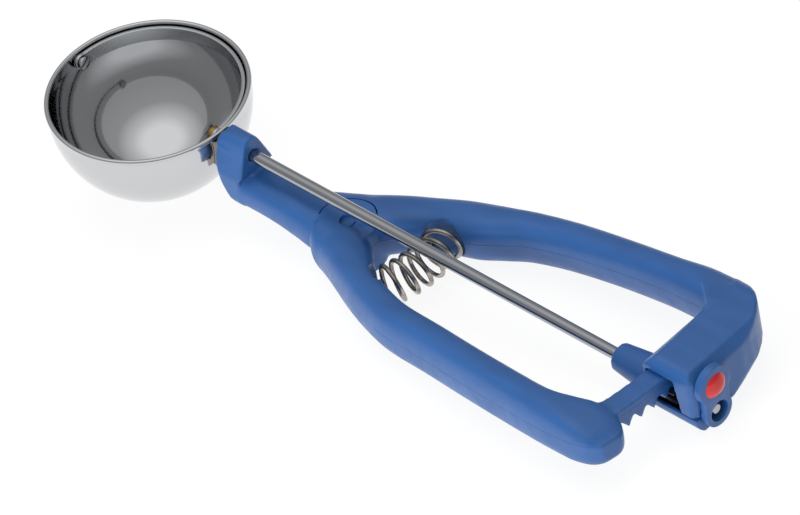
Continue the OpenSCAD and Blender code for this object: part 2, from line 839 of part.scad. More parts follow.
// Length along the bow and turn of each ring of the wire
WIRE = concat([[wire_s0, 20]],
    [for (i = [0:ring_n]) [wire_s0 + wire_d + coil_l * i / ring_n, 20 - 45 * i]],
    [[wire_s1, 20 - 45 * ring_n]]);
WIRE_PTS = [for (w = WIRE) bow_p(w[0], w[1])];
WIRE_OUT = [for (w = WIRE) bow_n(w[0], w[1])];
spring_gap = min([for (i = [0:len(WIRE) - 6]) for (j = [i + 5:len(WIRE) - 1])
    norm(WIRE_PTS[i] - WIRE_PTS[j])]) - wire_d;
echo(least_gap_of_the_spring_to_itself = spring_gap);

module spring() {
    m = len(WIRE) - 1;
    rings = [for (i = [0:m])
        let (d = WIRE_PTS[min(i + 1, m)] - WIRE_PTS[max(i - 1, 0)], t = d / norm(d),
            o = WIRE_OUT[i] - (WIRE_OUT[i] * t) * t, e = o / norm(o), g = cross(t, e))
        [for (k = [0:5]) WIRE_PTS[i] + wire_d / 2 * (e * cos(60 * k) + g * sin(60 * k))]];
    color("#8d8f92")
        in_world()
            in_spring()
                skin(rings, 6);
}

module end_plate() {
    color("#3f69ab")
        in_world()
            difference() {
                union() {
                    rod_cyl(house_x1 + press_gap, house_x1 + plate_t, plate_r0);
                    translate([0, 0, plug_z])
                        rod_cyl(house_x1 + press_gap, house_x1 + plate_t, plate_r1);
                    translate([house_x1 + press_gap, -plate_r0 + 0.4, 0])
                        cube([plate_t - press_gap, 2 * plate_r0 - 0.8, plug_z]);
                    rod_cyl(house_x1 - collar_l, house_x1 + plate_t, collar_r);
                }
                rod_cyl(house_x1 - 10, house_x1 + plate_t + 1, bush_r + 0.05);
                translate([0, 0, plug_z])
                    rod_cyl(house_x1 - 1, house_x1 + plate_t + 1, shank_r + press_gap);
            }
}

module size_plug() {
    x = house_x1 + plate_t + press_gap;
    dome_r = (plug_r * plug_r + plug_h * plug_h) / (2 * plug_h);
    color("#c03034")
        in_world()
            translate([0, 0, plug_z])
                rotate([0, 90, 0])
                    rotate_extrude()
                        polygon(concat([[0, house_x1 - 4.2], [shank_r, house_x1 - 4.2], [shank_r, x]],
                            arc(0, x + plug_h - dome_r, dome_r, 90 - acos((dome_r - plug_h) / dome_r), 86, 10),
                            [[0, x + plug_h]]));
}

handle_frame();
housing_cover();
lever();
pivot_pin();
bowl();
bowl_bracket();
scraper_blade();
scraper_rivet();
scraper_hub();
drive_rod();
pinion();
rear_bush();
spring();
end_plate();
size_plug();
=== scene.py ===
import math

import bmesh
import bpy
from mathutils import Matrix, Vector


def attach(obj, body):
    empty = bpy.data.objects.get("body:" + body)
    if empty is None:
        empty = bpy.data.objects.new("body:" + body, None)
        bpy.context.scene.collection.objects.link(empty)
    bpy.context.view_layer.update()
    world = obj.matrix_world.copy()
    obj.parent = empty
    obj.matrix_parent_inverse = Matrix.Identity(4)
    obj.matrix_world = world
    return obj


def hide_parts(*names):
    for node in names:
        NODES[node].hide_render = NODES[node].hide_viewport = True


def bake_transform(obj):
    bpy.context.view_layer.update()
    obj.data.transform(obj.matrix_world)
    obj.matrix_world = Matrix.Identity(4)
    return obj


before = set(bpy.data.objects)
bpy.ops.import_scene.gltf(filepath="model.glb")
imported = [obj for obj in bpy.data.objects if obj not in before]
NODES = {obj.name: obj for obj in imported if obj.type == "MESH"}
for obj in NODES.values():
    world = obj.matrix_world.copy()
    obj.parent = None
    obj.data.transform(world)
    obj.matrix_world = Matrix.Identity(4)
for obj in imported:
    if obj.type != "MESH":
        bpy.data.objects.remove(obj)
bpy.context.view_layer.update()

# ---------------------------------------------------------------- places
# Lengths are in mm in the rod's own directions: X along the rod from the
# middle of the bowl, Y to the fixed arm, Z up from the rim. ROD takes them to
# metres and to their place, and HANDLE starts anew at the pivot.

BOWL_R = 26.0
REST_X = 182.0  # the housing stands on the floor here,
REST_DROP = 20.1  # and the rod has come down by this much
TILT = math.asin(REST_DROP / REST_X)
ROD = (Matrix.Translation((-REST_X * math.cos(TILT) / 1000, 0, BOWL_R / 1000))
       @ Matrix.Rotation(TILT, 4, "Y") @ Matrix.Scale(0.001, 4))
PIVOT = Vector((68.8, 0, -11.4))
RISE = math.radians(9)  # of the two arms, over the rod
HANDLE = Matrix.Translation(PIVOT) @ Matrix.Rotation(-RISE, 4, "Y")
SQUEEZE = 6  # degrees that the lever turns

# Turns that lay a piece made along Z on another direction.
ALONG_X = Matrix.Rotation(math.pi / 2, 4, "Y")
ALONG_Y = Matrix.Rotation(-math.pi / 2, 4, "X")
BACK_ALONG_Y = Matrix.Rotation(math.pi / 2, 4, "X")


def about_z(degrees):
    """A turn about Z."""
    return Matrix.Rotation(math.radians(degrees), 4, "Z")


# The spring's axis is an arc between its seats in the two arms, which leans
# about the upper seat.
SEAT = Vector((21.6, 11.8, 0))
HALF_BOW = 29  # degrees
LEAN = -5
SPRING = HANDLE @ Matrix.Translation(SEAT) @ about_z(LEAN) @ Matrix.Translation(-SEAT)
UPPER_SEAT = SPRING @ Matrix.Translation(SEAT) @ about_z(HALF_BOW) @ ALONG_Y
LOWER_SEAT = (SPRING @ Matrix.Translation((SEAT.x, -SEAT.y, 0)) @ about_z(-HALF_BOW)
              @ ALONG_Y)

# ---------------------------------------------------------------- materials
# Object coordinates are metres, so a noise of scale S has marks of 1000 / S
# mm, and bump distances are metres too.


def srgb(code):
    """A colour written as RRGGBB, as linear values."""
    c = [int(code[i:i + 2], 16) / 255 for i in (0, 2, 4)]
    return tuple(v / 12.92 if v <= 0.04045 else ((v + 0.055) / 1.055) ** 2.4
                 for v in c) + (1.0,)


def feed(node, inputs):
    """Feeds inputs, by name or in order, with sockets, nodes' first outputs or values."""
    for key, value in inputs.items() if isinstance(inputs, dict) else enumerate(inputs):
        if isinstance(value, bpy.types.Node):
            value = value.outputs[0]
        if isinstance(value, bpy.types.NodeSocket):
            node.id_data.links.new(value, node.inputs[key])
        else:
            node.inputs[key].default_value = value


def add(tree, kind, inputs=(), **settings):
    """Adds a node with its settings and feeds its inputs."""
    node = tree.nodes.new("ShaderNode" + kind)
    for key, value in settings.items():
        setattr(node, key, value)
    feed(node, inputs)
    return node


def new_material(name, color, roughness, metallic=0.0):
    """A material with its typical colour and gloss, its node tree and its shader."""
    mat = bpy.data.materials.new(name)
    mat.use_nodes = True
    shader = mat.node_tree.nodes["Principled BSDF"]
    feed(shader, {"Base Color": srgb(color), "Roughness": roughness, "Metallic": metallic})
    return mat, mat.node_tree, shader


PARTING_Z = 0.8  # of the line where the mould halves met, over the middle of the arms


def parting_line(tree, place, end):
    """1 on the parting line of the mould, 0 beside it and beyond end, in metres along X."""
    up = ((ROD @ HANDLE).to_3x3() @ Vector((0, 0, 1))).normalized()
    level = up.dot(ROD @ HANDLE @ Vector((0, 0, PARTING_Z)))
    height = add(tree, "VectorMath", (place, tuple(up)), operation="DOT_PRODUCT")
    off = add(tree, "Math", (height.outputs["Value"], level), operation="SUBTRACT")
    away = add(tree, "Math", (off,), operation="ABSOLUTE")
    # Full to 0.04 mm from its middle and gone at 0.22 mm: wider than real, to show.
    line = add(tree, "MapRange", (away, 0.00004, 0.00022, 1.0, 0.0))
    along = add(tree, "SeparateXYZ", (place,)).outputs["X"]
    shown = add(tree, "MapRange", (along, end - 0.001, end, 1.0, 0.0))
    return add(tree, "Math", (line, shown), operation="MULTIPLY")


BLUE = "2B5C9B"
DEEP_BLUE = "24508A"


def blue_nylon(name, line_end=None):
    """Injection moulded nylon, coloured right through. The eye sees a satin blue with soft
    highlights, faint streaks of the flow, handled patches that shine a little more, and a
    fine skin. The long mouldings carry their parting line."""
    mat, tree, shader = new_material(name, BLUE, 0.38)
    place = add(tree, "TexCoord").outputs["Object"]
    # Flow streaks of 17 by 4.5 mm, along the arms.
    along = add(tree, "Mapping", {"Vector": place, "Scale": (60, 220, 220)})
    flow = add(tree, "TexNoise", {"Vector": along, "Scale": 1.0, "Detail": 3.0})
    share = add(tree, "MapRange", (flow, 0.35, 0.7, 0.0, 0.55))
    tint = add(tree, "Mix", {0: share, 6: srgb(BLUE), 7: srgb(DEEP_BLUE)}, data_type="RGBA")
    # Handled patches of 4 mm.
    wear = add(tree, "TexNoise", {"Vector": place, "Scale": 260.0, "Detail": 4.0,
                                  "Roughness": 0.6})
    gloss = add(tree, "MapRange", (wear, 0.3, 0.7, 0.32, 0.46))
    # Skin with a grain of 0.4 mm, several times the real one so that it shows.
    skin = add(tree, "TexNoise", {"Vector": place, "Scale": 2600.0})
    if line_end is None:
        relief = add(tree, "Bump", {"Height": skin, "Distance": 0.00002, "Strength": 0.35})
    else:
        # The line stands 0.1 mm high, and the skin has 7% of that.
        grain = add(tree, "MapRange", (skin, 0.0, 1.0, 0.0, 0.07))
        height = add(tree, "Math", (parting_line(tree, place, line_end), grain),
                     operation="ADD")
        relief = add(tree, "Bump", {"Height": height, "Distance": 0.0001, "Strength": 1.0})
    feed(shader, {"Base Color": tint.outputs[2], "Roughness": gloss, "Normal": relief})
    return mat


def buffed_steel():
    """Stainless steel, pressed and buffed. The eye sees a neutral mirror of the room, drawn
    out a little by the hair lines of the wheel."""
    mat, tree, shader = new_material("polished_stainless_steel", "CBCCCE", 0.06, 1.0)
    place = add(tree, "TexCoord").outputs["Object"]
    # Hair lines of 1.1 by 0.12 mm, wider than the real ones so that they show.
    level = add(tree, "Mapping", {"Vector": place, "Scale": (1, 1, 9)})
    hair = add(tree, "TexNoise", {"Vector": level, "Scale": 900.0, "Detail": 3.0,
                                  "Roughness": 0.6})
    gloss = add(tree, "MapRange", (hair, 0.3, 0.7, 0.05, 0.1))
    relief = add(tree, "Bump", {"Height": hair, "Distance": 0.000002, "Strength": 0.3})
    feed(shader, {"Roughness": gloss, "Normal": relief})
    return mat


def worked_steel(name, color, rough, stretch):
    """Steel as the die, the roll or the plating bath left it. The eye sees a softer shine
    than on buffed steel, with fine marks of the tool that stretch draws out to lines."""
    mat, tree, shader = new_material(name, color, rough, 1.0)
    place = add(tree, "TexCoord").outputs["Object"]
    # Marks of 0.7 mm, over twice the real ones so that they show, divided by stretch.
    drawn = add(tree, "Mapping", {"Vector": place, "Scale": stretch})
    marks = add(tree, "TexNoise", {"Vector": drawn, "Scale": 1500.0})
    gloss = add(tree, "MapRange", (marks, 0.3, 0.7, rough * 0.75, rough * 1.25))
    relief = add(tree, "Bump", {"Height": marks, "Distance": 0.000004, "Strength": 0.4})
    feed(shader, {"Roughness": gloss, "Normal": relief})
    return mat


def spring_steel():
    """Oil tempered spring wire. The eye sees a warm grey metal whose thin film of oxide
    comes and goes, with bright glints on each curl."""
    mat, tree, shader = new_material("oil_tempered_spring_wire", "8F8A84", 0.24, 1.0)
    place = add(tree, "TexCoord").outputs["Object"]
    # Patches of the film, 2.4 mm long.
    film = add(tree, "TexNoise", {"Vector": place, "Scale": 420.0, "Detail": 3.0})
    share = add(tree, "MapRange", (film, 0.35, 0.65, 0.0, 1.0))
    tint = add(tree, "Mix", {0: share, 6: srgb("B4AEA6"), 7: srgb("7E7770")},
               data_type="RGBA")
    gloss = add(tree, "MapRange", (film, 0.3, 0.7, 0.18, 0.32))
    feed(shader, {"Base Color": tint.outputs[2], "Roughness": gloss})
    return mat


def washed_brass():
    """Turned brass that has been through many washes. The eye sees yellow metal with
    browner and duller spots."""
    mat, tree, shader = new_material("turned_brass", "B08A4A", 0.25, 1.0)
    place = add(tree, "TexCoord").outputs["Object"]
    # Spots of 1.4 mm.
    dull = add(tree, "TexNoise", {"Vector": place, "Scale": 700.0, "Detail": 3.0})
    share = add(tree, "MapRange", (dull, 0.3, 0.7, 0.0, 1.0))
    tint = add(tree, "Mix", {0: share, 6: srgb("BE9650"), 7: srgb("8F6C36")},
               data_type="RGBA")
    gloss = add(tree, "MapRange", (dull, 0.3, 0.7, 0.2, 0.38))
    feed(shader, {"Base Color": tint.outputs[2], "Roughness": gloss})
    return mat


def small_moulding(name, color, dark, rough):
    """Plastic moulded in a smooth tool. The eye sees one even colour, a shade darker in
    clouds, under a highlight as sharp as rough allows."""
    mat, tree, shader = new_material(name, color, rough)
    place = add(tree, "TexCoord").outputs["Object"]
    # Clouds of 5.6 mm in the colour.
    cloud = add(tree, "TexNoise", {"Vector": place, "Scale": 180.0})
    share = add(tree, "MapRange", (cloud, 0.35, 0.65, 0.0, 0.6))
    tint = add(tree, "Mix", {0: share, 6: srgb(color), 7: srgb(dark)}, data_type="RGBA")
    # Skin with a grain of 0.45 mm, several times the real one so that it shows.
    skin = add(tree, "TexNoise", {"Vector": place, "Scale": 2200.0})
    gloss = add(tree, "MapRange", (skin, 0.3, 0.7, rough * 0.85, rough * 1.2))
    relief = add(tree, "Bump", {"Height": skin, "Distance": 0.00001, "Strength": 0.2})
    feed(shader, {"Base Color": tint.outputs[2], "Roughness": gloss, "Normal": relief})
    return mat


MATS = {
    "blue": blue_nylon("moulded_blue_nylon"),
    # The parting line ends before the housing, and runs to the end of the lever.
    "blue_frame": blue_nylon("moulded_blue_nylon_frame", -0.0125),
    "blue_lever": blue_nylon("moulded_blue_nylon_lever", 0.1),
    "steel": buffed_steel(),
    # Stamped from strip and left unbuffed: the warmest and dullest of the steels in view.
    "bracket": worked_steel("stamped_steel", "9C958C", 0.28, (1, 1, 1)),
    # Rolled strip: pale and bright, with lines 0.09 mm high that run level.
    "blade": worked_steel("rolled_steel_strip", "C4C7CA", 0.16, (1, 1, 8)),
    # Drawn through a die: bright, with lines 33 mm long that follow the rod.
    "rod": worked_steel("drawn_steel_rod", "A9ACB0", 0.14, (0.02, 1, 1)),
    "spring": spring_steel(),
    "brass": washed_brass(),
    # Zinc plated steel, dull: its dark grey is partly painted shade, standing in for the
    # shade deep in the housing.
    "gear": worked_steel("zinc_plated_steel_with_painted_shade", "6E6F73", 0.3, (1, 1, 1)),
    # Nearly black, with a soft sheen.
    "bush": small_moulding("black_acetal", "2E2E30", "242426", 0.35),
    # Strong red with a small sharp highlight.
    "red": small_moulding("moulded_red_abs", "D8282C", "B81E26", 0.14),
}

# ---------------------------------------------------------------- shapes

ROUND = 64  # sides of a plain round piece
ARC_STEPS = 24


def spin(profile, steps):
    """A full turn about Z of a profile of (radius, height) points from axis to axis."""
    bm = bmesh.new()
    verts = [bm.verts.new((r, 0, z)) for r, z in profile]
    edges = [bm.edges.new(pair) for pair in zip(verts, verts[1:])]
    bmesh.ops.spin(bm, geom=verts + edges, cent=(0, 0, 0), axis=(0, 0, 1),
                   angle=2 * math.pi, steps=steps, use_merge=True)
    bmesh.ops.remove_doubles(bm, verts=bm.verts, dist=1e-5)
    bmesh.ops.recalc_face_normals(bm, faces=bm.faces)
    return bm


def turned(profile, place=Matrix.Identity(4)):
    """A closed turned piece along X: (x, radius) points, then moved to its place."""
    bm = spin([(r, x) for x, r in profile], ROUND)
    bm.transform(place @ ALONG_X)
    return bm


def cylinder(lo, hi, r, place):
    """A plain cutter along the Z of its place."""
    bm = bmesh.new()
    bmesh.ops.create_cone(bm, cap_ends=True, segments=ROUND, radius1=r, radius2=r,
                          depth=hi - lo,
                          matrix=place @ Matrix.Translation((0, 0, (lo + hi) / 2)))
    return bm


def block(lo, hi, place=Matrix.Identity(4)):
    """A plain cutter between two corners."""
    lo, hi = Vector(lo), Vector(hi)
    bm = bmesh.new()
    bmesh.ops.create_cube(bm, size=1, matrix=place @ Matrix.Translation((lo + hi) / 2)
                          @ Matrix.Diagonal((*(hi - lo), 1)))
    return bm


def both_sides(lo, hi):
    """A block on the left of the rod, and its twin on the right."""
    return block(lo, hi), block((lo[0], -hi[1], lo[2]), (hi[0], -lo[1], hi[2]))


def prism(points, place, depth):
    """An outline in XY, pushed along Z by depth."""
    bm = bmesh.new()
    face = bm.faces.new([bm.verts.new((x, y, 0)) for x, y in points])
    pushed = bmesh.ops.extrude_face_region(bm, geom=[face])["geom"]
    bmesh.ops.translate(bm, vec=(0, 0, depth),
                        verts=[v for v in pushed if isinstance(v, bmesh.types.BMVert)])
    bmesh.ops.recalc_face_normals(bm, faces=bm.faces)
    bm.transform(place)
    return bm


def ridge(points, y0, y1):
    """An outline in X and Z, pushed along Y."""
    return prism(points, Matrix.Translation((0, y1, 0)) @ BACK_ALONG_Y, y1 - y0)


def disc(lo, hi, r):
    """A plain cylinder about the pivot."""
    return cylinder(lo, hi, r, HANDLE)


def arc(cx, cy, r, a0, a1):
    """Points on an arc, with angles in degrees."""
    angles = [math.radians(a0 + (a1 - a0) * i / ARC_STEPS) for i in range(ARC_STEPS + 1)]
    return [(cx + r * math.cos(a), cy + r * math.sin(a)) for a in angles]


def wedge(a0, a1, r, lo, hi):
    """A sector about the pivot."""
    return prism([(0, 0)] + arc(0, 0, r, a0, a1), HANDLE @ Matrix.Translation((0, 0, lo)),
                 hi - lo)


def bevelled(bm, width):
    """Rounds the edges of a moulded or machined piece."""
    sharp = math.radians(40)
    edges = [e for e in bm.edges if e.is_manifold and e.calc_face_angle(0) > sharp]
    bmesh.ops.bevel(bm, geom=edges, offset=width, segments=3, profile=0.5, affect="EDGES",
                    clamp_overlap=True, material=-1)
    return bm


def join(bm, other):
    """Adds the faces of other to bm."""
    mesh = bpy.data.meshes.new("joined")
    other.to_mesh(mesh)
    other.free()
    bm.from_mesh(mesh)
    bpy.data.meshes.remove(mesh)
    return bm


def plain_object(name, bm):
    """An object from a bmesh, which is used up."""
    mesh = bpy.data.meshes.new(name)
    bm.to_mesh(mesh)
    bm.free()
    obj = bpy.data.objects.new(name, mesh)
    bpy.context.scene.collection.objects.link(obj)
    return obj


def drop(obj):
    """Removes an object and its mesh."""
    mesh = obj.data
    bpy.data.objects.remove(obj)
    bpy.data.meshes.remove(mesh)


def baked(obj):
    """The object's mesh with its modifiers applied, as a bmesh. The object is dropped."""
    bpy.context.view_layer.update()
    shown = obj.evaluated_get(bpy.context.evaluated_depsgraph_get())
    bm = bmesh.new()
    bm.from_mesh(shown.to_mesh())
    shown.to_mesh_clear()
    drop(obj)
    return bm


def cut(bm, *cutters, operation="DIFFERENCE"):
    """Cuts the cutters out of bm."""
    obj = plain_object("work", bm)
    tools = [plain_object("tool", c) for c in cutters]
    for tool in tools:
        mod = obj.modifiers.new("cut", "BOOLEAN")
        mod.operation = operation
        mod.solver = "EXACT"
        mod.object = tool
    done = baked(obj)
    for tool in tools:
        drop(tool)
    return done


def moulded(bm, voxel, rounds):
    """One skin over everything in bm, with the small soft fillets of a moulding."""
    obj = plain_object("moulding", bm)
    skin = obj.modifiers.new("skin", "REMESH")
    skin.mode = "VOXEL"
    skin.voxel_size = voxel
    soft = obj.modifiers.new("soft", "SMOOTH")
    soft.factor = 0.5
    soft.iterations = rounds
    return baked(obj)


def cad_copy(node):
    """A copy of a CAD node's mesh in the rod's mm, merged and with its flat faces whole."""
    bm = bmesh.new()
    bm.from_mesh(NODES[node].data)
    bmesh.ops.remove_doubles(bm, verts=bm.verts, dist=2e-6)
    bm.transform(ROD.inverted())
    bmesh.ops.dissolve_limit(bm, angle_limit=math.radians(0.8), verts=bm.verts,
                             edges=bm.edges)
    bmesh.ops.recalc_face_normals(bm, faces=bm.faces)
    return bm


def piece(name, bm, body, nodes, material, angle):
    """Makes a finished piece from a bmesh, smooth but for edges above an angle. A piece given
    no body is left unattached."""
    bm.transform(ROD)
    for f in bm.faces:
        f.smooth = True
    for e in bm.edges:
        e.smooth = e.calc_face_angle(0) < math.radians(angle)
    obj = plain_object(name, bm)
    obj.data.materials.append(MATS[material])
    if body:
        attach(obj, body)
    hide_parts(*nodes)
    return obj


# ---------------------------------------------------------------- arms
# Rows of x, y, half width and half height along the two arms. The lever's also
# have the height above the middle alone, which is less at the end bulb.

FRAME_ROWS = [(33, 0, 6.1, 5), (44, 0, 6.1, 5.1), (54, .1, 6.8, 5.6), (61, 1.2, 8.4, 6.3),
              (68, 5.2, 8.2, 6.6), (76, 10.2, 6.7, 6.7), (84, 13.8, 5.9, 6.7),
              (92, 16.3, 6.2, 6.8), (98, 17.7, 6.2, 6.9), (105, 19.9, 5.4, 6.8),
              (112, 21.9, 4.8, 6.7), (124, 23.7, 4.5, 6.7), (140, 24.7, 4.3, 6.8),
              (156, 25, 4.4, 7), (166, 25, 5, 7.3), (176, 24.4, 5, 7.2)]
LEVER_ROWS = [(61.9, -3.4, 4.6, 6.2, 6.2), (65, -3.8, 6.1, 6.4, 6.4), (70, -5, 6.6, 6.6, 6.6),
              (77, -9, 5.7, 6.7, 6.7), (85, -13.6, 4.8, 6.8, 6.8), (94, -17.2, 4.7, 6.9, 6.9),
              (104, -20.1, 4.7, 7, 7), (118, -22, 4.6, 7.2, 7.2), (133, -24.2, 4.6, 7.3, 7.3),
              (148, -26.2, 4.6, 7.4, 7.5), (160, -27.5, 4.8, 7.4, 7.3),
              (168, -27.3, 5.7, 7.4, 6.6), (174.5, -26.7, 6.3, 7.4, 5.4),
              (179.3, -26.8, 5.8, 7, 3.4), (182, -27.2, 4.4, 6.2, 1.4),
              (183.4, -27.5, 2.8, 4.6, 0.6)]
PER_ROW = 8  # steps of the skin from row to row
HEAD_Z = -10.2  # middle of the head block
DIP, DIP_LENGTH = 1.2, 22  # from there down to the pivot

# Power of a section's cosine and sine: 1 is an ellipse, and less is fuller.
# A top that comes down by TOP_DROP or more is fuller by TOP_FULLER.
SECTION = 0.8
TOP_FULLER, TOP_DROP = 0.25, 1.5


def mid_z(x):
    """Height of the arms' middle: level in the head block, rising behind the pivot."""
    if x > PIVOT.x:
        return PIVOT.z + (x - PIVOT.x) * math.tan(RISE)
    t = max(0.0, (x - PIVOT.x + DIP_LENGTH) / DIP_LENGTH)
    return HEAD_Z - DIP * t * t * (3 - 2 * t)


def between(rows, s):
    """The smooth curve through the rows, at a position counted in rows."""
    last = len(rows) - 1
    i = min(int(s), last - 1)
    t = s - i
    a, b, c, d = (Vector(rows[min(max(i + k, 0), last)]) for k in (-1, 0, 1, 2))
    square = (2 * a - 5 * b + 4 * c - d) * t * t
    cube = (3 * b - a - 3 * c + d) * t ** 3
    return 0.5 * (2 * b + (c - a) * t + square + cube)


def bulge(v, power):
    """v to a power, with its sign kept."""
    return math.copysign(abs(v) ** power, v)


def arm(rows):
    """A smooth arm through the rows: a grid wrapped round the path, closed at both ends."""
    last = len(rows) - 1
    bm = bmesh.new()
    bmesh.ops.create_grid(bm, x_segments=last * PER_ROW, y_segments=ROUND, size=1)
    for v in bm.verts:
        s = (v.co.x + 1) / 2 * last
        turn = (v.co.y + 1) * math.pi
        row = between(rows, s)
        x, y, half_width, below, above = row[0], row[1], row[2], row[3], row[-1]
        ahead = between(rows, min(s + 0.5, last)) - between(rows, max(s - 0.5, 0))
        way = Vector((ahead[0], ahead[1])).normalized()
        power = SECTION
        if above < below:
            power -= TOP_FULLER * min(1, (below - above) / TOP_DROP)
        out = half_width * bulge(math.cos(turn), power)
        up = (above if turn < math.pi else below) * bulge(math.sin(turn), power)
        v.co = (x - way[1] * out, y + way[0] * out, mid_z(x) + up)
    bmesh.ops.remove_doubles(bm, verts=bm.verts, dist=1e-4)
    bmesh.ops.holes_fill(bm, edges=[e for e in bm.edges if e.is_boundary])
    bmesh.ops.recalc_face_normals(bm, faces=bm.faces)
    return bm


# ---------------------------------------------------------------- knuckle

KNUCKLE_R = 8.6  # of the part where the two arms are one form
EAR_R = 7.4  # the lever's two ears,
CUP_R = 7.75  # the cups for them in the fixed handle,
TONGUE_R = 6.6  # the fixed handle's tongue between the ears
SLOT_R = 7.0  # and the slot for it
SLOT = 2.8  # half the slot's height
HANDLE_BORE, LEVER_BORE = 2.05, 2.03  # radii for the pin

# Sectors about the pivot, in degrees: the fixed handle's side of the knuckle,
# the root of its tongue, and the mouth of the slot for that.
HANDLE_SIDE, TONGUE_ROOT, SLOT_MOUTH = (45, 198.5), (60, 190), (50, 196)


def knuckle():
    """The knuckle is flush: its top and underside follow the two arms run together."""
    both = moulded(join(arm(FRAME_ROWS), arm(LEVER_ROWS)), voxel=0.5, rounds=14)
    return cut(both, disc(-14, 14, KNUCKLE_R), operation="INTERSECT")


# ---------------------------------------------------------------- fixed handle
# Head block, bar, arm and rear housing in one blue moulding.

SKIN = 0.42  # voxel of the two large mouldings
UPPER_RECESS_R, LOWER_RECESS_R, RECESS = 5.65, 6.2, 8  # for the ends of the spring
SHAFT_ROOM_R = 5.5  # keeps the arm's end clear of rod and pinion
TOP_RIGHT, TOP_LEFT, CORNER_Y = -8, 22, 15.6  # of the housing's top
FRONT_SLOPE = [(172, 9.9), (173.6, 9.9), (177.2, 13.5), (172, 13.5)]
REAR_SLOPE = [(187.6, 13.5), (187.6, 13.3), (190, 10.6), (192, 10.6), (192, 13.5)]

# The rounded corner between arm and housing, in plan, and what its sloped top leaves.
CORNER = [(174.4, 17.2), (172, 19.3), (169.3, 21.6), (164, 23.5), (170, 25), (180, 24),
          (178, 17.2)]
CORNER_FOOT, CORNER_H = -1.2, 15
CORNER_TOP = [(160, 10.2), (176, 13.2), (181, 13.2), (181, 16), (160, 16)]

fixed = cut(arm(FRAME_ROWS),
            cylinder(-RECESS, 0, UPPER_RECESS_R, UPPER_SEAT),
            cylinder(170, 200, SHAFT_ROOM_R, ALONG_X))
housing = cut(cad_copy("handle_frame"),
              ridge(FRONT_SLOPE, TOP_RIGHT, CORNER_Y),
              ridge(REAR_SLOPE, TOP_RIGHT, TOP_LEFT))
corner = cut(prism(CORNER, Matrix.Translation((0, 0, CORNER_FOOT)), CORNER_H),
             ridge(CORNER_TOP, 10, 30))
# The two blocks fill the head block where the CAD has the sides of the bracket.
for part in (fixed, knuckle(), corner, *both_sides((27.9, 2.3, -6.5), (32, 3.8, 1.7))):
    join(housing, part)
shell = cut(moulded(housing, SKIN, rounds=6),
            disc(SLOT, 14, CUP_R),
            disc(-14, -SLOT, CUP_R),
            # round the tongue, but not where it comes out of the arm
            cut(disc(-2.9, 2.9, CUP_R), disc(-4, 4, TONGUE_R),
                wedge(*TONGUE_ROOT, 20, -4, 4)),
            disc(-3, 3, HANDLE_BORE),
            # the lever's side of the knuckle
            block((61.55, -20, -30), (81.55, -2.5, 10)))
piece("handle_shell", shell, "frame", ["handle_frame"], "blue_frame", 60)

# ---------------------------------------------------------------- lever
# Ears, arm, end bulb and rack strip in one blue moulding.

moving = cut(arm(LEVER_ROWS),
             cylinder(0, RECESS, LOWER_RECESS_R, LOWER_SEAT),
             # what the housing takes up when the lever is squeezed
             block((102.5, -7, -12), (132.5, 13, 12), HANDLE @ about_z(-SQUEEZE)))
# The flush knuckle takes the place of the CAD's flat top.
ears = cut(cad_copy("lever"), disc(4.6, 14, KNUCKLE_R + 0.2))
shell = cut(moulded(join(join(ears, moving), knuckle()), SKIN, rounds=4),
            # the fixed handle's side of the knuckle, down to the ears
            cut(wedge(*HANDLE_SIDE, 40, -15, 15), disc(-16, 16, EAR_R)),
            # the slot, and its mouth for the tongue
            disc(-SLOT, SLOT, SLOT_R),
            wedge(*SLOT_MOUTH, 20, -SLOT, SLOT),
            disc(-15, 15, LEVER_BORE))
piece("lever_shell", shell, "lever", ["lever"], "blue_lever", 60)

# ---------------------------------------------------------------- bowl
# Two half spheres and a rolled bead between them, turned in one.

BOWL_IN = 25.0
BEAD_X, BEAD_Z, BEAD_R = 25.65, 2.24, 0.65
BOWL_STEPS = 192
ROD_HOLE, RIVET_HOLE = 1.65, 1.22


def sphere(r, angles):
    """Points on a half sphere's profile, at degrees from its lowest point."""
    return [(r * math.sin(math.radians(a)), -r * math.cos(math.radians(a))) for a in angles]


bead = [(BOWL_R, 0), (BOWL_R, 1.5)] + arc(BEAD_X, BEAD_Z, BEAD_R, -50, 180)
lip = [(BOWL_IN, 1.9), (BOWL_IN, 0.3), (24.98, 0.1)]
bowl = spin(sphere(BOWL_R, range(0, 90, 2)) + bead + lip
            + sphere(BOWL_IN, range(88, -1, -2)), BOWL_STEPS)
bowl = cut(bowl,
           cylinder(20, 30, ROD_HOLE, ALONG_X),
           cylinder(-30, -20, RIVET_HOLE, ALONG_X))
piece("bowl_shell", bowl, "frame", ["bowl"], "steel", 40)

# ---------------------------------------------------------------- rod and plug

ROD_R = 1.6
ROD_X0, ROD_X1 = 22.4, 191.2
CHAMFER, END_CHAMFER = 0.2, 0.4
FLAT_X0, FLAT_X1, FLAT = 175.23, 181.37, 0.45  # ends and depth of the pinion's flat

rod = turned([(ROD_X0, 0), (ROD_X0, ROD_R - CHAMFER), (ROD_X0 + CHAMFER, ROD_R),
              (ROD_X1 - END_CHAMFER, ROD_R), (ROD_X1, ROD_R - END_CHAMFER), (ROD_X1, 0)])
rod = cut(rod, block((FLAT_X0, -5, ROD_R - FLAT), (FLAT_X1, 5, 5)))
piece("rod_round", rod, "drive", ["drive_rod"], "rod", 30)

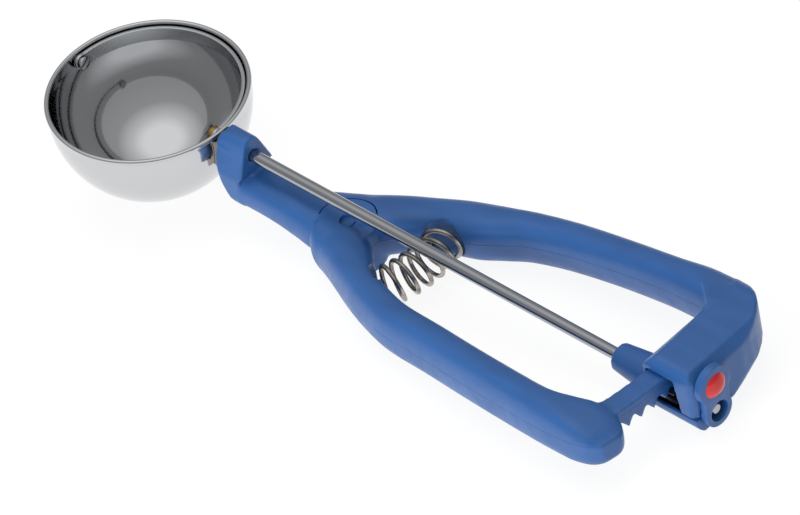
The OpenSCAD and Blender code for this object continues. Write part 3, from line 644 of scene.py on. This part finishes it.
# The plug: a neck in the end plate and a domed head on its face.
PLUG = Matrix.Translation((0, 0, 8.5))
NECK_X, NECK_R = 185.8, 1.5
FACE_X = 192.22
HEAD_R, DOME_HALF, DOME_H = 3.35, 3.4, 1.48
dome_r = (DOME_HALF ** 2 + DOME_H ** 2) / (2 * DOME_H)
dome = [(FACE_X + DOME_H - dome_r + dome_r * math.cos(math.radians(a)),
         dome_r * math.sin(math.radians(a))) for a in (56, 52, 46, 38, 30, 22, 14, 7)]
plug = turned([(NECK_X, 0), (NECK_X, NECK_R), (FACE_X, NECK_R), (FACE_X, HEAD_R)]
              + dome + [(FACE_X + DOME_H, 0)], PLUG)
piece("plug_dome", plug, "frame", ["size_plug"], "red", 40)

# ---------------------------------------------------------------- spring

COIL_R = 4.9
WIRE_R = 0.6
TURNS = 6.5
STEP = 7.5  # degrees from point to point
FIRST_TURN = 20.0  # where the wire starts, in degrees round the coil
STUB, LEAD = 0.65, 1.25  # the wire stands straight between these distances from a seat
BOW_R = SEAT.y / math.sin(math.radians(HALF_BOW))
BOW_L = BOW_R * 2 * math.radians(HALF_BOW)
BOW_X = SEAT.x - BOW_R * math.cos(math.radians(HALF_BOW))


def coil_point(s, turn):
    """A point of the coil at s mm along the bow, from the lever's seat."""
    a = s / BOW_R - math.radians(HALF_BOW)
    r = BOW_R + COIL_R * math.cos(turn)
    return SPRING @ Vector((BOW_X + r * math.cos(a), r * math.sin(a),
                            COIL_R * math.sin(turn)))


count = round(TURNS * 360 / STEP)
route = [(STUB, FIRST_TURN)]
for i in range(count + 1):
    route.append((LEAD + (BOW_L - 2 * LEAD) * i / count, FIRST_TURN - STEP * i))
route.append((BOW_L - STUB, FIRST_TURN - STEP * count))
curve = bpy.data.curves.new("coil", "CURVE")
curve.dimensions = "3D"
curve.bevel_depth = WIRE_R
curve.bevel_resolution = 4
curve.use_fill_caps = True
line = curve.splines.new("POLY")
line.points.add(len(route) - 1)
for p, (s, turn) in zip(line.points, route):
    p.co = (*coil_point(s, math.radians(turn)), 1)
coil = bpy.data.objects.new("coil", curve)
bpy.context.scene.collection.objects.link(coil)
bpy.context.view_layer.update()
bm = bmesh.new()
bm.from_mesh(coil.evaluated_get(bpy.context.evaluated_depsgraph_get()).to_mesh())
bpy.data.objects.remove(coil)
bmesh.ops.remove_doubles(bm, verts=bm.verts, dist=1e-4)
bmesh.ops.recalc_face_normals(bm, faces=bm.faces)
wire = piece("spring_wire", bm, None, ["spring"], "spring", 40)
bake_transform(wire)

# ---------------------------------------------------------------- small pieces
# Made from the CAD's own shape: bevelled by a width in mm, or where that is 0,
# as on the bent sheet steel, given a soft skin.

THIN_SKIN = 0.16

for node, name, body, slot, material, width in (
        ("end_plate", "end_plate_moulding", "frame", "blue_plastic", "blue", 0.6),
        ("housing_cover", "cover_moulding", "frame", "blue_plastic", "blue", 0.9),
        ("pivot_pin", "pin_moulding", "lever", "blue_plastic", "blue", 0.3),
        ("bowl_bracket", "bracket_stamping", "frame", "bracket_steel", "bracket", 0),
        ("scraper_blade", "blade_strip", "drive", "blade_steel", "blade", 0),
        ("scraper_rivet", "rivet_heads", "frame", "polished_steel", "steel", 0.25),
        ("scraper_hub", "hub_ring", "drive", "hub_brass", "brass", 0.2),
        ("pinion", "pinion_gear", "drive", "gear_steel", "gear", 0.1),
        ("rear_bush", "bush_sleeve", "frame", "bush_plastic", "bush", 0.2)):
    bm = cad_copy(node)
    if node == "bowl_bracket":
        # Its sides would show as slivers through the head block.
        bm = cut(bm, *both_sides((27.8, 2.3, -8), (33, 4, 3)))
    bm = bevelled(bm, width) if width else moulded(bm, THIN_SKIN, rounds=3)
    piece(name, bm, body, [node], material, 30)

# ---------------------------------------------------------------- camera
# From far off with a long lens, at the photograph's angle.

cam = bpy.data.objects.new("camera", bpy.data.cameras.new("camera"))
cam.data.lens = 405
cam.data.sensor_width = 36
cam.data.clip_end = 20
right, up, back = (Vector(v) for v in ((0.700673, 0.677676, -0.223187),
                                       (-0.314369, 0.574044, 0.756072),
                                       (0.640491, -0.459597, 0.615258)))
cam.matrix_world = Matrix.Translation((1.313856, -1.012514, 1.363708)) @ Matrix(
    (right, up, back)).transposed().to_4x4()
bpy.context.scene.collection.objects.link(cam)
bpy.context.scene.camera = cam

# ---------------------------------------------------------------- floor and light

bpy.context.scene.view_settings.view_transform = "Standard"

# White paper, which shows as an even white that still takes the scoop's shadow:
# most of its white is its own glow.
GLOW, GLOW_SHARE = 1.06, 0.84
bm = bmesh.new()
bmesh.ops.create_grid(bm, x_segments=1, y_segments=1, size=3)
floor = plain_object("floor", bm)
paper, tree, shader = new_material("white_paper", "F2F2F2", 0.9)
glow = add(tree, "Emission", {"Color": srgb("FFFFFF"), "Strength": GLOW})
lit = add(tree, "MixShader", (GLOW_SHARE, shader, glow))
feed(tree.nodes["Material Output"], {"Surface": lit})
floor.data.materials.append(paper)

# A studio with a bright ceiling and darker walls, by height only.
world = bpy.data.worlds.new("studio")
world.use_nodes = True
sky = world.node_tree
outward = add(sky, "TexCoord").outputs["Generated"]
height = add(sky, "SeparateXYZ", (outward,)).outputs["Z"]
walls = add(sky, "ValToRGB", (height,))
ramp = walls.color_ramp
ramp.elements[0].color = srgb("A4A4A4")
ramp.elements[1].position, ramp.elements[1].color = 0.95, srgb("FFFFFF")
for place, color in ((0.3, "A0A0A0"), (0.68, "AAAAAA"), (0.86, "DCDCDC")):
    ramp.elements.new(place).color = srgb(color)
feed(sky.nodes["Background"], {"Color": walls})
bpy.context.scene.world = world


def lamp(name, place, size, watts):
    """A square soft box that looks at the scoop and leaves no highlight of its own."""
    data = bpy.data.lights.new(name, "AREA")
    data.size = size
    data.energy = watts
    obj = bpy.data.objects.new(name, data)
    obj.location = place
    aim = Vector((-0.1, 0, 0)) - Vector(place)
    obj.rotation_euler = aim.to_track_quat("-Z", "Y").to_euler()
    obj.visible_glossy = False
    bpy.context.scene.collection.objects.link(obj)


lamp("overhead", (-0.25, 0.15, 0.9), 0.7, 2.4)
lamp("front_left", (0.0, -0.95, 0.22), 0.6, 7.5)
